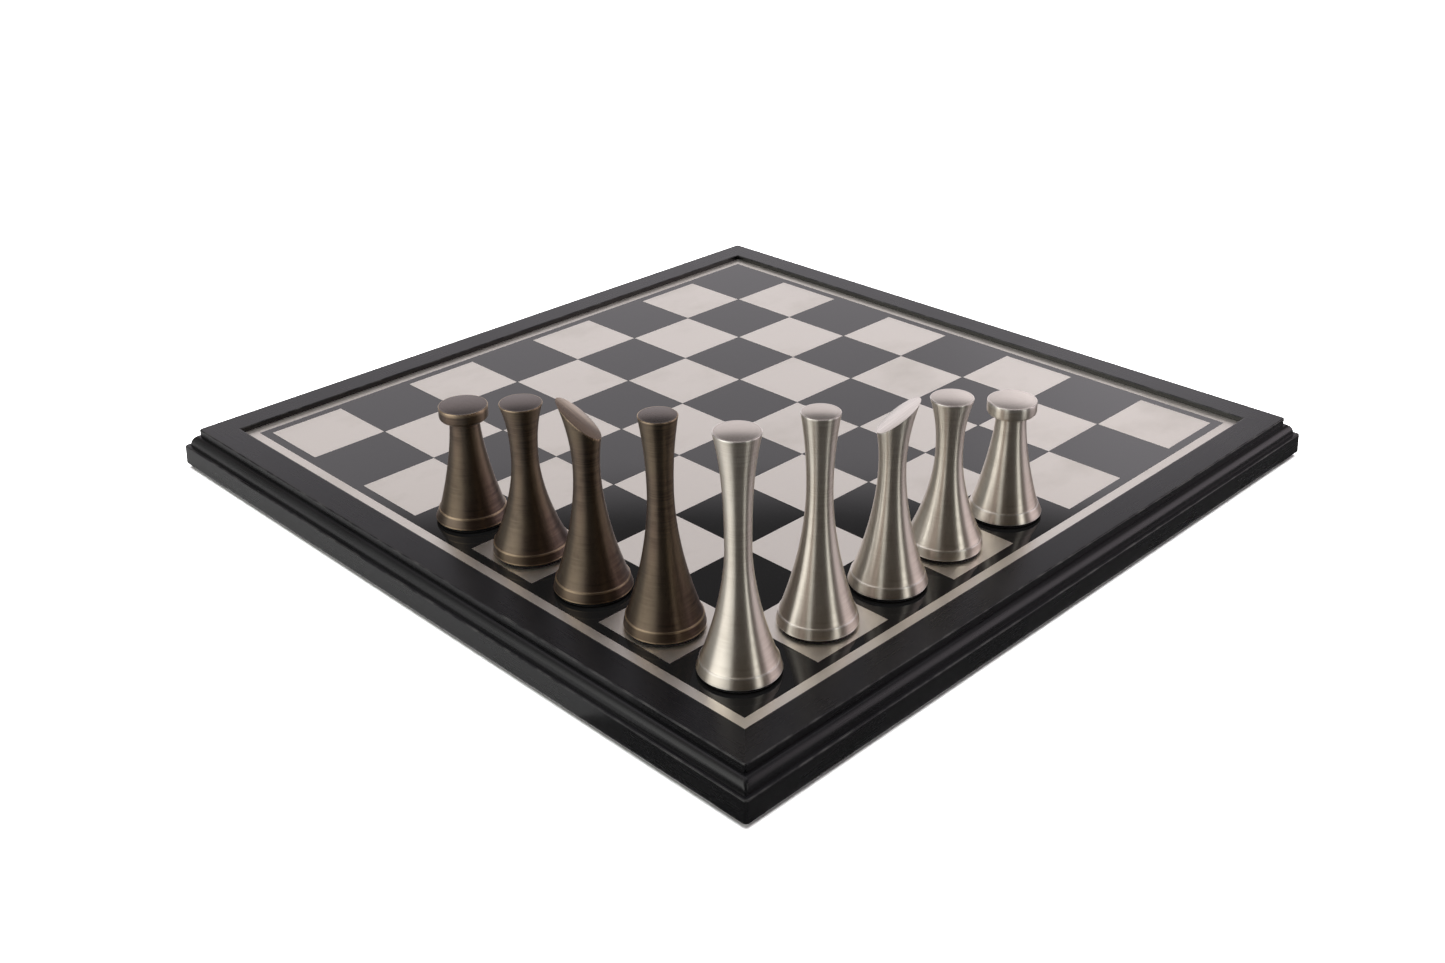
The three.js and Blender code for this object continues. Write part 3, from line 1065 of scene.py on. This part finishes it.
def make_floor():
    """A plain pale square floor. Past its edge the camera sees white."""
    bm = bmesh.new()
    bmesh.ops.create_grid(bm, x_segments=1, y_segments=1, size=FLOOR_SIZE / 2)
    mesh = bpy.data.meshes.new("floor")
    bm.to_mesh(mesh)
    bm.free()
    floor = bpy.data.objects.new("floor", mesh)
    f = Finish("floor")
    f.set(Base_Color=(0.9, 0.9, 0.9, 1), Roughness=1.0, Specular_IOR_Level=0.0)
    mesh.materials.append(f.material)
    scene.collection.objects.link(floor)


def make_reflected_floor_shade(name, start, end, level):
    """A card round one side of the board on the floor, seen only in reflections: its grey is a
    painted reflection of a darker, shaded floor than the white one the camera sees.
    """
    inner = cad_high.x + FLAG_GAP
    points, faces = [], []
    for i in range(FLAG_STEPS + 1):
        angle = math.radians(start + (end - start) * i / FLAG_STEPS)
        out = Vector((math.cos(angle), math.sin(angle)))
        square = inner / max(abs(out.x), abs(out.y))
        for radius in (square, FLAG_OUTER):
            points.append((radius * out.x, radius * out.y, FLAG_HEIGHT))
    for i in range(FLAG_STEPS):
        faces.append((2 * i, 2 * i + 1, 2 * i + 3, 2 * i + 2))
    flag = mesh_object(name, points, faces)
    f = Finish(name)
    f.set(Base_Color=grey(level), Roughness=1.0, Specular_IOR_Level=0.0)
    flag.data.materials.append(f.material)
    flag.visible_camera = False
    flag.visible_diffuse = False
    flag.visible_shadow = False


def make_world():
    """Studio surroundings for light and reflections; the camera sees plain white."""
    world = bpy.data.worlds.new("studio")
    world.use_nodes = True
    tree = world.node_tree
    nodes, links = tree.nodes, tree.links
    coordinates = nodes.new("ShaderNodeTexCoord")
    axes = nodes.new("ShaderNodeSeparateXYZ")
    links.new(coordinates.outputs["Generated"], axes.inputs[0])

    def calculate(operation, first, second=None):
        made = nodes.new("ShaderNodeMath")
        made.operation = operation
        for socket, value in zip(made.inputs, (first, second)):
            if isinstance(value, bpy.types.NodeSocket):
                links.new(value, socket)
            elif value is not None:
                socket.default_value = value
        return made.outputs[0]

    heading = calculate("ARCTAN2", axes.outputs["Y"], axes.outputs["X"])
    turn = calculate("FRACT", calculate("DIVIDE", heading, 2 * math.pi))
    rise = calculate("ARCSINE", axes.outputs["Z"])

    def tinted(level, tint):
        return (*(level / BRIGHTEST * part for part in TINTS[tint]), 1)

    def ring(stops):
        ramp = nodes.new("ShaderNodeValToRGB")
        links.new(turn, ramp.inputs[0])
        elements = ramp.color_ramp.elements
        elements[0].color = elements[1].color = tinted(*stops[0][1:])
        for angle, level, tint in stops[1:]:
            elements.new(angle / 360).color = tinted(level, tint)
        return ramp.outputs[0]

    def changed(lower, upper, heights):
        share = nodes.new("ShaderNodeMapRange")
        share.interpolation_type = "SMOOTHSTEP"
        links.new(rise, share.inputs["Value"])
        share.inputs["From Min"].default_value = math.radians(heights[0])
        share.inputs["From Max"].default_value = math.radians(heights[1])
        mixed = nodes.new("ShaderNodeMix")
        mixed.data_type = "RGBA"
        links.new(share.outputs[0], mixed.inputs[0])
        links.new(lower, mixed.inputs[6])
        links.new(upper, mixed.inputs[7])
        return mixed.outputs[2]

    lower = changed(ring(LOW_ROUND), ring(HIGH_ROUND), LOW_TO_HIGH)
    colour = changed(lower, ring(TOP_ROUND), HIGH_TO_TOP)
    reflected = nodes.new("ShaderNodeBackground")
    links.new(colour, reflected.inputs["Color"])
    reflected.inputs["Strength"].default_value = BRIGHTEST
    backdrop = nodes.new("ShaderNodeBackground")
    backdrop.inputs["Color"].default_value = grey(1.0)
    ray = nodes.new("ShaderNodeLightPath")
    choice = nodes.new("ShaderNodeMixShader")
    links.new(ray.outputs["Is Camera Ray"], choice.inputs[0])
    links.new(reflected.outputs[0], choice.inputs[1])
    links.new(backdrop.outputs[0], choice.inputs[2])
    links.new(choice.outputs[0], nodes["World Output"].inputs["Surface"])
    scene.world = world


def make_top_light():
    """A large soft light overhead, which gives the pale floor its brightness."""
    data = bpy.data.lights.new("top_light", "AREA")
    data.shape = "SQUARE"
    data.size = TOP_LIGHT["size"]
    data.energy = TOP_LIGHT["power"]
    light = bpy.data.objects.new("top_light", data)
    light.location = (0, 0, TOP_LIGHT["height"])
    light.visible_glossy = False
    light.visible_camera = False
    scene.collection.objects.link(light)


make_floor()
for flag_name, flag_start, flag_end, reflected_shade_level in REFLECTED_FLOOR_SHADES:
    make_reflected_floor_shade(flag_name, flag_start, flag_end, reflected_shade_level)
make_world()
make_top_light()
